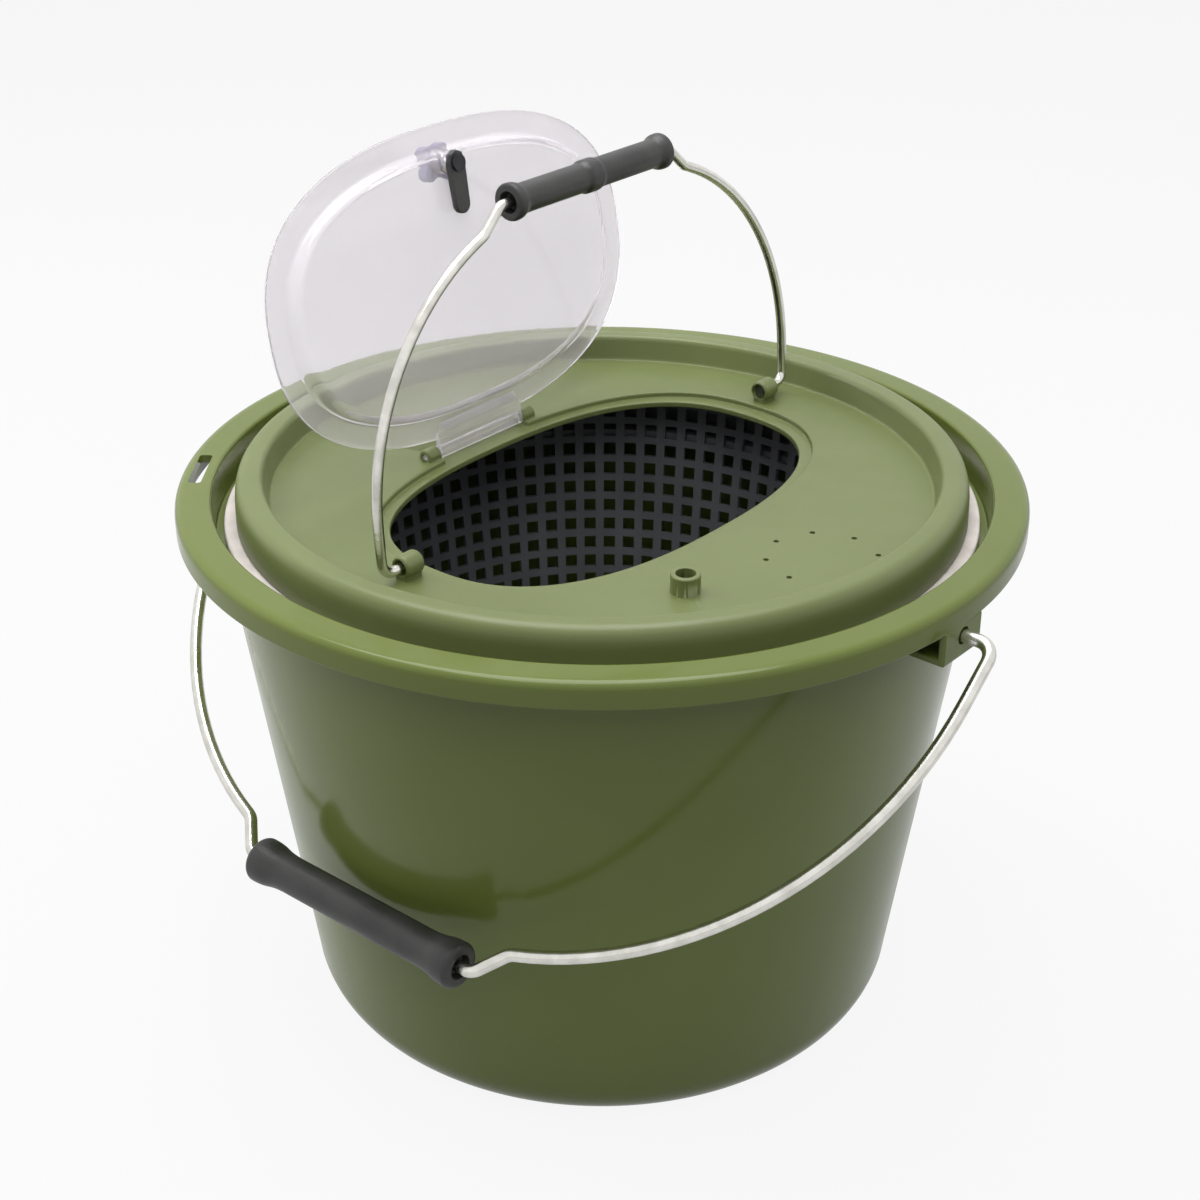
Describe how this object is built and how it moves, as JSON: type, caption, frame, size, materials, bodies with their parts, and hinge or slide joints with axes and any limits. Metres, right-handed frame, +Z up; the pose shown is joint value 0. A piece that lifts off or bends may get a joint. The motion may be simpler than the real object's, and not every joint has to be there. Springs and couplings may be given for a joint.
{
  "type": "aerated bait bucket",
  "caption": "Round bait bucket with a bail and a lift-out perforated basket under a floating cover with a latched lid and its own bail.",
  "frame": {"origin": "centre of the bucket's base on the floor", "axes": "+Z up out of the mouth, X through the outer bail's pivots, Y along the insert's bail pivots and the lid's hinge; the outer bail hangs at -Y and the lid opens towards -X"},
  "size_m": [0.328, 0.3, 0.3171],
  "materials": {
    "green_plastic": "satin olive green polypropylene",
    "black_plastic": "satin black",
    "dark_mesh": "dark grey moulding",
    "foam": "light grey closed-cell foam",
    "wire": "zinc plated, drawn",
    "smoky_plastic": "satin violet grey",
    "milky_plastic": "milky translucent polypropylene",
    "screw_steel": "bright"
  },
  "bodies": {
    "bucket": {"outer_bucket": "green_plastic"},
    "outer_handle": {"outer_bail": "wire"},
    "outer_handle_grip": {"outer_grip": "black_plastic"},
    "insert": {"top_cover": "green_plastic", "basket": "dark_mesh", "float_ring": "foam", "cover_screws": "screw_steel"},
    "inner_handle": {"inner_bail": "wire"},
    "inner_handle_grip": {"inner_grip": "black_plastic"},
    "lid": {"lid": "milky_plastic"},
    "latch": {"latch_knob": "smoky_plastic", "latch_lever": "black_plastic", "latch_screw": "screw_steel"}
  },
  "joints": [
    {"name": "outer_bail_swing", "type": "hinge", "parent": "bucket", "child": "outer_handle", "pos_m": [0, 0, 0.191], "axis": [-1, 0, 0], "range_deg": [0, 258]},
    {"name": "outer_grip_spin", "type": "hinge", "parent": "outer_handle", "child": "outer_handle_grip", "pos_m": [0, -0.12978, 0.0859], "axis": [1, 0, 0], "continuous": true},
    {"name": "insert_lift", "type": "slide", "parent": "bucket", "child": "insert", "axis": [0, 0, 1], "range_m": [0, 0.22]},
    {"name": "inner_bail_swing", "type": "hinge", "parent": "insert", "child": "inner_handle", "pos_m": [0, 0, 0.2055], "axis": [0, 1, 0], "range_deg": [-29, 92]},
    {"name": "inner_grip_spin", "type": "hinge", "parent": "inner_handle", "child": "inner_handle_grip", "pos_m": [-0.00644, 0, 0.3108], "axis": [0, 1, 0], "continuous": true},
    {"name": "lid_hinge", "type": "hinge", "parent": "insert", "child": "lid", "pos_m": [-0.06, 0, 0.2022], "axis": [0, 1, 0], "range_deg": [0, 100]},
    {"name": "latch_turn", "type": "hinge", "parent": "lid", "child": "latch", "pos_m": [-0.07634, 0, 0.30238], "axis": [0.9848, 0, 0.1736], "range_deg": [0, 180]}
  ]
}
